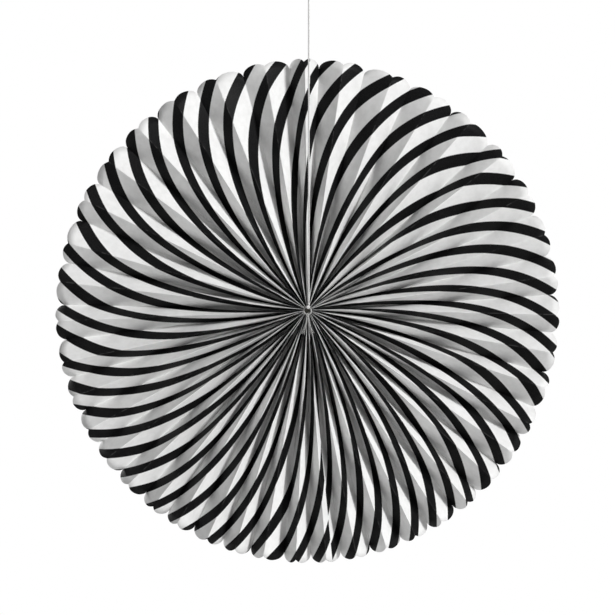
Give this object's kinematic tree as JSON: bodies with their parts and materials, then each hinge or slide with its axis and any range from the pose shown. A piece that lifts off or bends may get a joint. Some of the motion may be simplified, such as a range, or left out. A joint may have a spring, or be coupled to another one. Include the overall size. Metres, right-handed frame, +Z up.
{
  "type": "paper fan rosette",
  "caption": "Round hanging decoration of pleated striped paper with a scalloped rim, gathered on a string ring and hung by a string with a loop.",
  "frame": {"origin": "centre of the fan, on its axis and midway between the ridge folds of its front and its back", "axes": "+Z up along the hanging string, -Y out of the fan's front, +X to the right seen from the front"},
  "size_m": [0.2998, 0.019, 0.3819],
  "materials": {
    "striped_paper": "matt, black swirling stripes printed on white",
    "glue": "dried paper glue",
    "string": "twisted white cotton"
  },
  "bodies": {
    "root": {"paper_right_half": "striped_paper", "paper_left_half": "striped_paper", "top_seam_glue": "glue", "bottom_seam_glue": "glue", "centre_glue": "glue", "draw_string_ring": "string", "draw_string_knot": "string", "hanging_string_knot": "string", "hanging_string": "string", "hanging_knot": "string", "hanging_loop": "string"}
  },
  "joints": []
}
